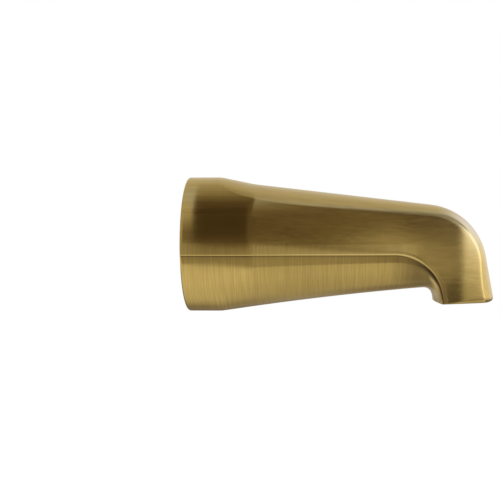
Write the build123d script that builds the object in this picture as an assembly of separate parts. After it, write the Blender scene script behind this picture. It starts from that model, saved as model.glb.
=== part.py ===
"""Bath spout: one hollow casting with a round wall end, a crowned top, leaning sides, an oval
underside below a raised crease, and a nose that turns down to an open outlet.

The origin is the centre of the wall face. +X runs out of the wall, +Z is up, and the
spout is symmetrical about Y = 0. All lengths are in millimetres and angles in degrees.
"""
from build123d import *
from math import asin, atan2, cos, degrees, radians, sin, sqrt
import os

# Wall end
BASE_DIAMETER = 57.0
BASE_LENGTH = 14.0
RIM_WALL = 1.5
RIM_ROUND = 1.0

# Flare, where the crowned top and the underside start to cut into the round wall end
FLARE_LENGTH = 14.0
FLARE_TOP_DROP = 2.95
FLARE_BOTTOM_RISE = 2.3
FLARE_CROWN_EXCESS = 1.5

# Body up to the bend of the nose
SPOUT_LENGTH = 128.7
BEND_TOP = 17.2
BEND_WIDTH = 37.2
UNDERSIDE_HOLLOW = 0.5
BODY_WALL = 2.4
CROWN_RADIUS = 37.5
BEND_CROWN_RADIUS = 29.5
EDGE_ROUND = 3.6

# Sides: round like the wall end at the flare, almost flat from the bend on, curving in at the front
SIDE_RADIUS = 150.0
NOSE_SIDE_LEAN = 6.5
SIDE_SETTLE_LENGTH = 14.0
FRONT_CURVE_LENGTH = 16.0
FRONT_CURVE_RADIUS = 75.0

# Crease where the upper shell stands proud of the underside
CREASE_DROP = 4.5
CREASE_BEND_RADIUS = 19.6
CREASE_SETBACK = 0.9
LEDGE_AT_BASE = 0.25
LEDGE_AT_OUTLET = 0.7

# Nose and outlet
NOSE_RADIUS = 26.3
NOSE_WALL = 2.4
FRONT_LEAN = 10.3
FRONT_CROWN_RADIUS = 24.0
FRONT_EDGE_ROUND = 1.2
THROAT_RISE = 6.45
THROAT_RUN = 5.4
OUTLET_DEPTH = 24.2
OUTLET_DROP = 24.55
OUTLET_TILT = 1.7
LIP_ROUND = 1.8

# Inlet: a half-inch pipe thread in a boss on the bulkhead
THREAD_BORE = 18.4
THREAD_MOUTH = 21.2
MOUTH_DEPTH = 1.4
BOSS_DIAMETER = 24.4
BOSS_FOOT_DIAMETER = 27.4
BOSS_LENGTH = 6.0
BULKHEAD_THICKNESS = 11.8

# Cores: the pipe cavity, and the chamber between the inlet and the outlet
CORE_CROWN_RADIUS = 36.0
CORE_STEP = 0.15
CAVITY_EDGE_ROUND = 3.2
CHAMBER_OVER_BORE = 0.3
CHAMBER_TOP_WIDTH = 21.0
CHAMBER_CORNER = 2.0
CHAMBER_BACK_BULGE = 1.7
CHAMBER_TAPER = 8.6

# Pad inside the bottom of the rim
PAD_WIDTH = 12.5
PAD_LENGTH = 5.6
PAD_HEIGHT = 2.4
PAD_ARCH = 0.75

# How far cuts overrun a face, and how finely curved stretches are divided
OVERRUN = 1.0
FLARE_STEPS = 5
BODY_STEPS = 3
BEND_STEPS = 12
ROUND_STEPS = 3

quarter_turn = 90
half_turn = 2 * quarter_turn
base_radius = BASE_DIAMETER / 2
base_half_width = sqrt(base_radius**2 - CREASE_DROP**2)
base_lean = -degrees(asin(CREASE_DROP / base_radius))
flare_end = BASE_LENGTH + FLARE_LENGTH
flare_top = base_radius - FLARE_TOP_DROP
flare_bottom = FLARE_BOTTOM_RISE - base_radius
throat_face = SPOUT_LENGTH - OUTLET_DEPTH
bend_start = throat_face - THROAT_RUN
bend_bottom = THROAT_RISE - OUTLET_DROP
settle_start = bend_start - SIDE_SETTLE_LENGTH / 2
crease_end = throat_face + CREASE_SETBACK
crease_turn = crease_end - CREASE_BEND_RADIUS


def blend(start, end, share):
    """Value part of the way from start to end."""
    return start + (end - start) * share


def steps(count):
    """Even shares from 0 to 1, both included."""
    return [step / count for step in range(count + 1)]


def body_share(x):
    """How far x lies along the body, 0 at the flare and 1 at the bend."""
    return (x - flare_end) / (bend_start - flare_end)


def top_height(x):
    """Height of the top line, which falls in a straight line along the body."""
    return blend(flare_top, BEND_TOP, body_share(x))


def underside_height(x):
    """Height of the bottom line, which rises in a shallow hollow, deepest midway."""
    share = body_share(x)
    hollow = UNDERSIDE_HOLLOW * (1 - (2 * share - 1) ** 2)
    return blend(flare_bottom, bend_bottom, share) + hollow


def half_width(x):
    """Half the width at the level of the crease: a straight taper that curves in at the front."""
    past_taper = max(x - SPOUT_LENGTH + FRONT_CURVE_LENGTH, 0)
    taper = blend(base_half_width, BEND_WIDTH / 2, body_share(x))
    return taper - past_taper**2 / (2 * FRONT_CURVE_RADIUS)


def side_share(x):
    """How far the side has turned at x: evenly along the body, easing to 1 as the nose starts."""
    past_start = min(max(x - settle_start, 0), SIDE_SETTLE_LENGTH)
    eased = past_start - past_start**2 / (2 * SIDE_SETTLE_LENGTH)
    return body_share(min(x, settle_start) + eased)


def side_radius(x):
    """Radius of the side in section, from the wall end's round to almost flat."""
    return 1 / blend(1 / base_radius, 1 / SIDE_RADIUS, side_share(x))


def side_centre(x):
    """Centre of the side's arc in section, whose normal leans up by more towards the nose."""
    lean = radians(blend(base_lean, NOSE_SIDE_LEAN, side_share(x)))
    radius = side_radius(x)
    return Vector(half_width(x) - radius * cos(lean), -CREASE_DROP - radius * sin(lean))


def side_reach(x, z):
    """Half the width of the spout's side at a place in the side view."""
    centre = side_centre(x)
    return centre.X + sqrt(side_radius(x) ** 2 - (z - centre.Y) ** 2)


def crease_height(x):
    """Height of the crease over the body: level, then falling along its bend."""
    past_turn = max(x - crease_turn, 0)
    return sqrt(CREASE_BEND_RADIUS**2 - past_turn**2) - CREASE_BEND_RADIUS - CREASE_DROP


def crossing_plane(x):
    """Upright plane across the spout, with Y to its right and Z up."""
    return Plane(origin=(x, 0, 0), x_dir=(0, 1, 0), z_dir=(1, 0, 0))


def bend_plane(turn):
    """Plane through the bend's axis, upright at 0 degrees and level at 90."""
    across = (cos(radians(turn)), 0, -sin(radians(turn)))
    return Plane(origin=(bend_start, 0, -OUTLET_DROP), x_dir=(0, 1, 0), z_dir=across)


def mirrored(point):
    """The point on the other side of the spout."""
    return Vector(-point.X, point.Y)


def on_arc(centre, start, end, radius):
    """Point halfway along the short arc from start to end about a centre."""
    return centre + ((start + end) / 2 - centre).normalized() * radius


def centre_of_three(first, second, third):
    """Centre of the circle through three points."""
    to_second = second - first
    to_third = third - first
    twice_area = 2 * (to_second.X * to_third.Y - to_second.Y * to_third.X)
    second_square = to_second.dot(to_second)
    third_square = to_third.dot(to_third)
    x = (to_third.Y * second_square - to_second.Y * third_square) / twice_area
    y = (to_second.X * third_square - to_third.X * second_square) / twice_area
    return first + Vector(x, y)


def edge_round_points(flank, flank_radius, top, crown_radius, rounding):
    """Centre of the round between the side and the crowned top, and its two ends."""
    crown = Vector(0, top - crown_radius)
    apart = (flank - crown).length
    towards = (flank - crown) / apart
    across = Vector(towards.Y, -towards.X)
    crown_reach = crown_radius - rounding
    flank_reach = flank_radius - rounding
    along = (crown_reach**2 - flank_reach**2 + apart**2) / (2 * apart)
    centre = crown + towards * along + across * sqrt(crown_reach**2 - along**2)
    side_end = flank + (centre - flank).normalized() * flank_radius
    top_end = crown + (centre - crown).normalized() * crown_radius
    return centre, side_end, top_end


def shell_section(plane, flank, flank_radius, top, crown_radius, crease, bottom, ledge,
                  rounding=EDGE_ROUND, waist=None):
    """Section with a crowned top, bowed sides, a ledge at the crease and an oval underside.

    The flank is the centre of the side's arc. The oval is centred at the waist, which is
    level with the crease unless it is given.
    """
    centre, side_end, top_end = edge_round_points(flank, flank_radius, top, crown_radius, rounding)
    widest = Vector(flank.X + sqrt(flank_radius**2 - (crease - flank.Y) ** 2), crease)
    inner = widest - Vector(ledge, 0)
    side_middle = on_arc(flank, widest, side_end, flank_radius)
    edge_middle = on_arc(centre, side_end, top_end, rounding)
    oval_centre = crease if waist is None else waist
    oval_depth = oval_centre - bottom
    start = asin((oval_centre - crease) / oval_depth)
    oval_width = inner.X / cos(start)
    sweep = half_turn - 2 * degrees(start)
    edges = [
        Line(inner, widest),
        ThreePointArc(widest, side_middle, side_end),
        ThreePointArc(side_end, edge_middle, top_end),
        ThreePointArc(top_end, Vector(0, top), mirrored(top_end)),
        ThreePointArc(mirrored(top_end), mirrored(edge_middle), mirrored(side_end)),
        ThreePointArc(mirrored(side_end), mirrored(side_middle), mirrored(widest)),
        Line(mirrored(widest), mirrored(inner)),
        EllipticalCenterArc((0, oval_centre), oval_width, oval_depth, half_turn + degrees(start),
                            arc_size=sweep),
    ]
    return plane * make_face(edges)


def on_circle(radius, angle):
    """Point at an angle in radians on a circle about the spout's axis."""
    return Vector(radius * cos(angle), radius * sin(angle))


def circle_arc(radius, start, end):
    """Arc about the spout's axis between two angles in radians."""
    middle = on_circle(radius, (start + end) / 2)
    return ThreePointArc(on_circle(radius, start), middle, on_circle(radius, end))


def round_section(x, radius, ledge, side, top):
    """Circle with a ledge at the crease, split at the angles of a shell section's edges."""
    under = radius - ledge
    crease = -asin(CREASE_DROP / radius)
    crease_under = -asin(CREASE_DROP / under)
    across = radians(half_turn)
    edges = [
        Line(on_circle(under, crease_under), on_circle(radius, crease)),
        circle_arc(radius, crease, side),
        circle_arc(radius, side, top),
        circle_arc(radius, top, across - top),
        circle_arc(radius, across - top, across - side),
        circle_arc(radius, across - side, across - crease),
        Line(on_circle(radius, across - crease), on_circle(under, across - crease_under)),
        circle_arc(under, across - crease_under, 2 * across + crease_under),
    ]
    return crossing_plane(x) * make_face(edges)


def flare_crown(share):
    """Height and radius of the crowned top where it cuts into the wall end's round."""
    height = blend(base_radius, flare_top, share)
    return height, blend(base_radius + FLARE_CROWN_EXCESS, CROWN_RADIUS, share)


def wall_end_section(x, radius):
    """Section of the wall end, split in line with the edges where the flare starts."""
    top, crown_radius = flare_crown(1 / FLARE_STEPS)
    _, side_end, top_end = edge_round_points(Vector(0, 0), base_radius, top, crown_radius, EDGE_ROUND)
    return round_section(x, radius, LEDGE_AT_BASE,
                         atan2(side_end.Y, side_end.X), atan2(top_end.Y, top_end.X))


def flare_section(share):
    """Section of the flare: the wall end's round, cut by the crowned top and the underside."""
    x = blend(BASE_LENGTH, flare_end, share)
    top, crown_radius = flare_crown(share)
    bottom = blend(LEDGE_AT_BASE - base_radius, flare_bottom, share)
    return shell_section(crossing_plane(x), Vector(0, 0), base_radius, top, crown_radius,
                         -CREASE_DROP, bottom, LEDGE_AT_BASE, waist=-CREASE_DROP * share)


def body_section(x):
    """Outer section of the body."""
    ledge = blend(LEDGE_AT_BASE, LEDGE_AT_OUTLET, body_share(x))
    crown_radius = blend(CROWN_RADIUS, BEND_CROWN_RADIUS, body_share(x))
    return shell_section(crossing_plane(x), side_centre(x), side_radius(x), top_height(x),
                         crown_radius, crease_height(x), underside_height(x), ledge)


# Side outline of the nose: the top line and the leaning front, joined by the nose radius
bend_centre = Vector(bend_start, -OUTLET_DROP)
top_fall = atan2(flare_top - BEND_TOP, bend_start - flare_end)
top_normal = Vector(sin(top_fall), cos(top_fall))
front_normal = Vector(cos(radians(FRONT_LEAN)), sin(radians(FRONT_LEAN)))
top_offset = top_normal.dot(Vector(bend_start, BEND_TOP))
front_offset = front_normal.dot(Vector(SPOUT_LENGTH, -OUTLET_DROP))
corner_spread = top_normal.X * front_normal.Y - top_normal.Y * front_normal.X
top_inset = top_offset - NOSE_RADIUS
front_inset = front_offset - NOSE_RADIUS
nose_centre = Vector(
    (top_inset * front_normal.Y - front_inset * top_normal.Y) / corner_spread,
    (front_inset * top_normal.X - top_inset * front_normal.X) / corner_spread,
)
crease_bend_centre = Vector(crease_turn, -CREASE_DROP - CREASE_BEND_RADIUS)
last_turn = quarter_turn - OUTLET_TILT


def reach_to_circle(direction, centre, radius):
    """Distance from the bend's axis along a direction to the far side of a circle."""
    offset = bend_centre - centre
    along = offset.dot(direction)
    return sqrt(along**2 - offset.dot(offset) + radius**2) - along


def reach_to_line(direction, normal, distance):
    """Distance from the bend's axis along a direction to a straight line."""
    return (distance - normal.dot(bend_centre)) / normal.dot(direction)


def nose_reach(direction):
    """Distance from the bend's axis along a direction to the outline of the nose."""
    on_nose = reach_to_circle(direction, nose_centre, NOSE_RADIUS)
    from_centre = bend_centre + direction * on_nose - nose_centre
    heading = atan2(from_centre.X, from_centre.Y)
    if heading < top_fall:
        return reach_to_line(direction, top_normal, top_offset)
    if heading > radians(quarter_turn - FRONT_LEAN):
        return reach_to_line(direction, front_normal, front_offset)
    return on_nose


def throat_reach(direction):
    """Distance from the bend's axis along a direction to the hollow behind the outlet."""
    return 1 / sqrt((direction.X / THROAT_RUN) ** 2 + (direction.Y / THROAT_RISE) ** 2)


def side_point(direction, reach):
    """Point of the side at a distance from the bend's axis, as half width and distance."""
    place = bend_centre + direction * reach
    return Vector(side_reach(place.X, place.Y), reach)


def nose_section(turn, inset=0):
    """Outer section of the nose, in a plane that swings about the bend's axis."""
    direction = Vector(sin(radians(turn)), cos(radians(turn)))
    crease = reach_to_circle(direction, crease_bend_centre, CREASE_BEND_RADIUS)
    top = nose_reach(direction)
    low = side_point(direction, crease)
    middle = side_point(direction, (crease + top - EDGE_ROUND) / 2)
    high = side_point(direction, top - EDGE_ROUND)
    flank = centre_of_three(low, middle, high)
    flank_radius = (low - flank).length - inset
    crown_radius = blend(BEND_CROWN_RADIUS, FRONT_CROWN_RADIUS, turn / last_turn)
    rounding = blend(EDGE_ROUND, FRONT_EDGE_ROUND, turn / last_turn)
    return shell_section(bend_plane(turn), flank, flank_radius, top - inset, crown_radius,
                         crease, throat_reach(direction), LEDGE_AT_OUTLET, rounding)


# Outer form, from the rounded rim to the rounded lip of the outlet
round_angles = [radians(quarter_turn) * share for share in steps(ROUND_STEPS)]
rim = [
    wall_end_section(RIM_ROUND * (1 - cos(angle)), base_radius - RIM_ROUND * (1 - sin(angle)))
    for angle in round_angles
]
wall_end = [wall_end_section(BASE_LENGTH, base_radius)]
flare = [flare_section(share) for share in steps(FLARE_STEPS)[1:-1]]
level_body = [body_section(blend(flare_end, crease_turn, share)) for share in steps(BODY_STEPS)]
bend_approach = [body_section(blend(crease_turn, bend_start, share)) for share in steps(BODY_STEPS)]
lip_turn = degrees(LIP_ROUND / OUTLET_DEPTH)
bend = [nose_section((last_turn - lip_turn) * share) for share in steps(BEND_STEPS)]
lip = [
    nose_section(last_turn - lip_turn * (1 - sin(angle)), LIP_ROUND * (1 - cos(angle)))
    for angle in round_angles
]
fixed_end = rim + wall_end + flare
outer = loft(fixed_end + level_body + bend_approach[1:-1] + bend + lip[1:], ruled=True)

# Chamber: a core drawn down through the outlet, its front parallel to the nose
chamber_back = throat_face + NOSE_WALL
chamber_top = THREAD_BORE / 2 + CHAMBER_OVER_BORE
chamber_foot = -OUTLET_DROP - OVERRUN
front_top = nose_centre.Y + NOSE_RADIUS * sin(radians(FRONT_LEAN))
outlet_half_opening = side_reach(chamber_back, -OUTLET_DROP) - NOSE_WALL


def chamber_front(z):
    """Front of the chamber at a height, one wall inside the nose outline."""
    if z < front_top:
        return (front_offset - NOSE_WALL - front_normal.Y * z) / front_normal.X
    return nose_centre.X + sqrt((NOSE_RADIUS - NOSE_WALL) ** 2 - (z - nose_centre.Y) ** 2)


def chamber_section(z):
    """Level section of the chamber, with its front as the crowned side."""
    plane = Plane(origin=(chamber_back, 0, z), x_dir=(0, 1, 0), z_dir=(0, 0, -1))
    share = (z - chamber_foot) / (chamber_top - chamber_foot)
    half_opening = blend(outlet_half_opening, CHAMBER_TOP_WIDTH / 2, share)
    taper = radians(CHAMBER_TAPER)
    flank = Vector(half_opening, CHAMBER_BACK_BULGE) - Vector(cos(taper), sin(taper)) * SIDE_RADIUS
    return shell_section(plane, flank, SIDE_RADIUS, chamber_front(z) - chamber_back,
                         CORE_CROWN_RADIUS, CHAMBER_BACK_BULGE, 0, CORE_STEP, CHAMBER_CORNER)


arched_front = [blend(front_top, chamber_top, share) for share in steps(BODY_STEPS)]
chamber = loft([chamber_section(z) for z in [chamber_foot] + arched_front], ruled=True)

# Pipe cavity: a straight-sided core from the rim to the bulkhead
bulkhead_face = chamber_back - BULKHEAD_THICKNESS
cavity_flank = side_centre(bulkhead_face)
cavity_side_radius = side_radius(bulkhead_face) - BODY_WALL
cavity_top = top_height(bulkhead_face) - BODY_WALL
cavity_bottom = underside_height(bulkhead_face) + BODY_WALL
_, cavity_side_end, cavity_top_end = edge_round_points(
    cavity_flank, cavity_side_radius, cavity_top, CORE_CROWN_RADIUS, CAVITY_EDGE_ROUND)
cavity_mouth = round_section(
    -OVERRUN, base_radius - RIM_WALL, CORE_STEP,
    atan2(cavity_side_end.Y, cavity_side_end.X), atan2(cavity_top_end.Y, cavity_top_end.X))
cavity_end = shell_section(
    crossing_plane(bulkhead_face), cavity_flank, cavity_side_radius, cavity_top, CORE_CROWN_RADIUS,
    -CREASE_DROP, cavity_bottom, CORE_STEP, CAVITY_EDGE_ROUND)
cavity = loft([cavity_mouth, cavity_end], ruled=True)

# Inlet boss on the bulkhead, with the thread's bore and its countersunk mouth
boss_face = bulkhead_face - BOSS_LENGTH
inlet = Location((boss_face, 0, 0), (0, quarter_turn, 0))
from_face = (Align.CENTER, Align.CENTER, Align.MIN)
boss = inlet * Cone(BOSS_DIAMETER / 2, BOSS_FOOT_DIAMETER / 2, BOSS_LENGTH, align=from_face)
bore_length = chamber_back + CHAMBER_BACK_BULGE - boss_face
bore = inlet * Cylinder(THREAD_BORE / 2, bore_length, align=from_face)
mouth = inlet * Cone(THREAD_MOUTH / 2, THREAD_BORE / 2, MOUTH_DEPTH, align=from_face)

# Pad inside the bottom of the rim, flat-ended and gently arched on top
pad_top = PAD_HEIGHT - (base_radius - RIM_WALL)
pad_shoulder = pad_top - PAD_ARCH
pad_edges = [
    Polyline((PAD_WIDTH / 2, pad_shoulder), (PAD_WIDTH / 2, -base_radius),
             (-PAD_WIDTH / 2, -base_radius), (-PAD_WIDTH / 2, pad_shoulder)),
    ThreePointArc((-PAD_WIDTH / 2, pad_shoulder), (0, pad_top), (PAD_WIDTH / 2, pad_shoulder)),
]
pad = extrude(crossing_plane(0) * make_face(pad_edges), PAD_LENGTH) & outer

spout_body = outer - cavity + boss + pad - bore - mouth - chamber

os.makedirs("parts", exist_ok=True)
export_step(spout_body, "parts/spout_body.step")
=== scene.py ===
"""Bath spout in brushed antique brass, seen from its side on a white ground."""

import bpy
import numpy as np
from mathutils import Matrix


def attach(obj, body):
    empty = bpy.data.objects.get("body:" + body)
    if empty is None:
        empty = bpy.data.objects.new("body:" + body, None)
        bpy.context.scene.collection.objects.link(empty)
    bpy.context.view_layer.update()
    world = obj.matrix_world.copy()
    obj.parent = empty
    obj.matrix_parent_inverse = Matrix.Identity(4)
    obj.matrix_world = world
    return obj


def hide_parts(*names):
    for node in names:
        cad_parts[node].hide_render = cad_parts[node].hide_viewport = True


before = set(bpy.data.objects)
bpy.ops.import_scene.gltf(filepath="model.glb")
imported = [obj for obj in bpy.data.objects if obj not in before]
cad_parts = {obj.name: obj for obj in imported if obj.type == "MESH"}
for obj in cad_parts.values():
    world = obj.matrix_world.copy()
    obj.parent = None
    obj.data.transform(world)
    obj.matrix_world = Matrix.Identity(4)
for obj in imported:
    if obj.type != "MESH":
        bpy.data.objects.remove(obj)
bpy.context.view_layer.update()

# Wall end
# The round end of the zinc casting that stands against the tiles, turned true and brushed.
# Its rim is a thin wall with a small round outside, and a fine crease runs along each side
# from the rim to the outlet. Lengths are millimetres until the mesh is made.
BASE_RADIUS = 28.5
BASE_LENGTH = 14.0
RIM_ROUND = 1.0
CREASE_DROP = 4.5
LEDGE_AT_BASE = 0.25
LIP_ROUND_MOST = 1.4
LIP_ROUND_PER_LEDGE = 2.2
LIP_SWEEP = np.radians(55.0)
WALL_END_CROWN = np.radians(6.0)
WALL_END_EDGE = 2 * WALL_END_CROWN

# Where the points of a half section lie along its crown, edge, side, lip and underside.
crown_share = np.linspace(0, 1, 13)
edge_share = np.linspace(0, 1, 10)[1:]
side_share = np.linspace(0, 1, 18)[1:]
lip_share = np.linspace(0, 1, 6)[1:]
under_share = np.concatenate([[0, 0.004], np.linspace(0.02, 1, 26)])


def blend(start, end, share):
    """Value part of the way from start to end."""
    return start + (end - start) * share


def ease(value, low, high):
    """Smooth step from 0 at low to 1 at high: 3t^2 - 2t^3 of the clipped share t."""
    t = np.clip((value - low) / (high - low), 0, 1)
    return t * t * (3 - 2 * t)


def column(values):
    """Values as a column, one row per loop."""
    return np.atleast_1d(np.asarray(values, float)).reshape(-1, 1)


def lip_round(ledge):
    """Radius of the crease's lip, small enough to end before the ledge's corner."""
    return np.minimum(LIP_ROUND_MOST, LIP_ROUND_PER_LEDGE * ledge)


def crease_lip(side_y, crease, ledge):
    """Lip below a side: an arc that leaves the side level and turns most of the way under."""
    turn = LIP_SWEEP * lip_share
    radius = lip_round(ledge)
    return side_y - radius * (1 - np.cos(turn)), crease + radius * (np.sin(LIP_SWEEP) - np.sin(turn))


def round_half(radius, crown_angle, side_angle, ledge=LEDGE_AT_BASE):
    """Right half of a round section, from the top centre to the bottom centre: points at
    (r sin a, r cos a) down to the crease, then a circle smaller by the ledge to the bottom."""
    radius = column(radius)
    lip = lip_round(ledge) * np.sin(LIP_SWEEP)
    crease_angle = np.pi / 2 + np.arcsin((CREASE_DROP - lip) / radius)
    angle = np.concatenate([
        crown_angle * crown_share,
        blend(crown_angle, side_angle, edge_share),
    ]) + 0 * radius
    angle = np.concatenate([angle, blend(side_angle, crease_angle, side_share)], axis=1)
    y, h = radius * np.sin(angle), radius * np.cos(angle)
    under = radius - ledge
    start = np.arcsin(CREASE_DROP / under)
    lip_y, lip_h = crease_lip(y[:, -1:], -CREASE_DROP, ledge)
    turn = blend(start, np.pi / 2, under_share)
    return (np.concatenate([y, lip_y, under * np.cos(turn)], axis=1),
            np.concatenate([h, lip_h + 0 * radius, -under * np.sin(turn)], axis=1))


# Flare, body and nose
# The rest of the outside of the casting: a crowned top with a tight edge, sides that go from
# the wall end's round to almost flat, and an oval underside behind the crease. The nose turns
# down about a level axis to the outlet. Grinding belts have softened its kinks.
FLARE_END = 28.0
FLARE_TOP = 25.55
FLARE_BOTTOM = -26.2
BEND_START = 99.1
BEND_TOP = 17.2
BEND_BOTTOM = -18.1
BEND_HALF_WIDTH = 18.6
UNDERSIDE_HOLLOW = 0.5
FLARE_CROWN_RADIUS = 30.0
CROWN_RADIUS = 37.5
BEND_CROWN_RADIUS = 29.5
FRONT_CROWN_RADIUS = 24.0
EDGE_ROUND = 3.6
FRONT_EDGE_ROUND = 1.2
SIDE_RADIUS = 150.0
NOSE_SIDE_LEAN = np.radians(6.5)
SIDE_SETTLE_LENGTH = 14.0
FRONT_CURVE_START = 112.7
FRONT_CURVE_RADIUS = 75.0
CREASE_TURN = 85.8
CREASE_BEND_RADIUS = 19.6
LEDGE_AT_OUTLET = 0.7
SPOUT_LENGTH = 128.7
NOSE_RADIUS = 26.3
FRONT_LEAN = np.radians(10.3)
OUTLET_DROP = 24.55
THROAT_RISE = 6.45
THROAT_RUN = 5.4
LAST_TURN = np.radians(88.3)
LIP_ROUND = 1.8
LIP_REACH = 24.2
LIP_TURN = LIP_ROUND / LIP_REACH
THROAT_LIP_SHARE = 0.2
TURN_RADIUS = 33.0
FIRST_CUT = 0.02
# Kinks that the belts soften: where each is, the widest window there, and how far it is felt.
SOFTENED_KINKS = ((BASE_LENGTH, 1.5, 3.0), (FLARE_END, 3.2, 6.0), (BEND_START, 4.0, 8.0))

base_half_width = np.sqrt(BASE_RADIUS**2 - CREASE_DROP**2)
base_lean = -np.arcsin(CREASE_DROP / BASE_RADIUS)


def shell_half(flank_y, flank_h, flank_radius, top, crown_radius, crease, bottom, ledge,
               rounding=EDGE_ROUND, waist=None):
    """Right half of a shell section, from the top centre to the bottom centre. The crown is a
    circle through the top, the side a circle about the flank's centre, the edge a circle that
    fits inside both, and the underside part of an ellipse about the waist."""
    flank_y, flank_h, flank_radius, top, crown_radius, crease, bottom, ledge, rounding = map(
        column, (flank_y, flank_h, flank_radius, top, crown_radius, crease, bottom, ledge, rounding))
    waist = crease if waist is None else column(waist)
    crown_h = top - crown_radius
    apart = np.hypot(flank_y, flank_h - crown_h)
    towards_y, towards_h = flank_y / apart, (flank_h - crown_h) / apart
    crown_reach, flank_reach = crown_radius - rounding, flank_radius - rounding
    along = (crown_reach**2 - flank_reach**2 + apart**2) / (2 * apart)
    aside = np.sqrt(np.maximum(crown_reach**2 - along**2, 0))
    round_y = towards_y * along + towards_h * aside
    round_h = crown_h + towards_h * along - towards_y * aside
    crown_angle = np.arctan2(round_y, round_h - crown_h)
    side_angle = np.arctan2(round_y - flank_y, round_h - flank_h)
    lip = lip_round(ledge) * np.sin(LIP_SWEEP)
    crease_angle = np.pi / 2 - np.arcsin((crease + lip - flank_h) / flank_radius)
    on_crown = crown_angle * crown_share
    on_edge = blend(crown_angle, side_angle, edge_share)
    on_side = blend(side_angle, crease_angle, side_share)
    y = [crown_radius * np.sin(on_crown), round_y + rounding * np.sin(on_edge),
         flank_y + flank_radius * np.sin(on_side)]
    h = [crown_h + crown_radius * np.cos(on_crown), round_h + rounding * np.cos(on_edge),
         flank_h + flank_radius * np.cos(on_side)]
    lip_y, lip_h = crease_lip(y[2][:, -1:], crease, ledge)
    widest = flank_y + np.sqrt(flank_radius**2 - (crease - flank_h) ** 2)
    depth = waist - bottom
    start = np.arcsin((waist - crease) / depth)
    breadth = (widest - ledge) / np.cos(start)
    turn = blend(start, np.pi / 2, under_share)
    y += [lip_y, breadth * np.cos(turn)]
    h += [lip_h, waist - depth * np.sin(turn)]
    return np.concatenate(y, axis=1), np.concatenate(h, axis=1)


def side_arc(x):
    """Centre and radius of the side's arc at x. Its half width at the crease's level tapers in
    a straight line and curves in at the front. Its roundness and its lean change evenly along
    the body and settle as the nose starts."""
    share = (x - FLARE_END) / (BEND_START - FLARE_END)
    past_taper = np.maximum(x - FRONT_CURVE_START, 0)
    half_width = blend(base_half_width, BEND_HALF_WIDTH, share) - past_taper**2 / (2 * FRONT_CURVE_RADIUS)
    settle_start = BEND_START - SIDE_SETTLE_LENGTH / 2
    past_start = np.clip(x - settle_start, 0, SIDE_SETTLE_LENGTH)
    turned_to = np.minimum(x, settle_start) + past_start - past_start**2 / (2 * SIDE_SETTLE_LENGTH)
    turned_share = (turned_to - FLARE_END) / (BEND_START - FLARE_END)
    radius = 1 / blend(1 / BASE_RADIUS, 1 / SIDE_RADIUS, turned_share)
    lean = blend(base_lean, NOSE_SIDE_LEAN, turned_share)
    return half_width - radius * np.cos(lean), -CREASE_DROP - radius * np.sin(lean), radius


def side_reach(x, z):
    """Half the width of the side at a place in the side view."""
    centre_y, centre_z, radius = side_arc(x)
    return centre_y + np.sqrt(radius**2 - (z - centre_z) ** 2)


def reach_to_circle(turn, centre, radius, hinge):
    """Distance from a hinge along the direction (sin, cos) of a turn to a circle's far side."""
    off_x, off_z = hinge[0] - centre[0], hinge[1] - centre[1]
    along = off_x * np.sin(turn) + off_z * np.cos(turn)
    return np.sqrt(along**2 - off_x**2 - off_z**2 + radius**2) - along


def outline_reach(turn, hinge, inset):
    """Distance from a hinge to the nose's side outline moved in by an inset: the falling top
    line, an arc about the nose's centre, and the leaning front line, whichever is met."""
    on_arc = reach_to_circle(turn, nose_centre, NOSE_RADIUS - inset, hinge)
    x = hinge[0] + on_arc * np.sin(turn) - nose_centre[0]
    z = hinge[1] + on_arc * np.cos(turn) - nose_centre[1]
    heading = np.arctan2(x, z)
    run = np.stack([np.sin(turn), np.cos(turn)])
    on_top = (top_offset - inset - top_normal @ hinge) / np.tensordot(top_normal, run, 1)
    on_front = (front_offset - inset - front_normal @ hinge) / np.tensordot(front_normal, run, 1)
    reach = np.where(heading < top_fall, on_top, on_arc)
    return np.where(heading > np.pi / 2 - FRONT_LEAN, on_front, reach)


top_fall = np.arctan2(FLARE_TOP - BEND_TOP, BEND_START - FLARE_END)
top_normal = np.array([np.sin(top_fall), np.cos(top_fall)])
front_normal = np.array([np.cos(FRONT_LEAN), np.sin(FRONT_LEAN)])
top_offset = top_normal @ [BEND_START, BEND_TOP]
front_offset = front_normal @ [SPOUT_LENGTH, -OUTLET_DROP]
nose_centre = np.linalg.solve([top_normal, front_normal],
                              [top_offset - NOSE_RADIUS, front_offset - NOSE_RADIUS])
crease_bend_centre = np.array([CREASE_TURN, -CREASE_DROP - CREASE_BEND_RADIUS])
bend_hinge = np.array([BEND_START, -OUTLET_DROP])


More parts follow.
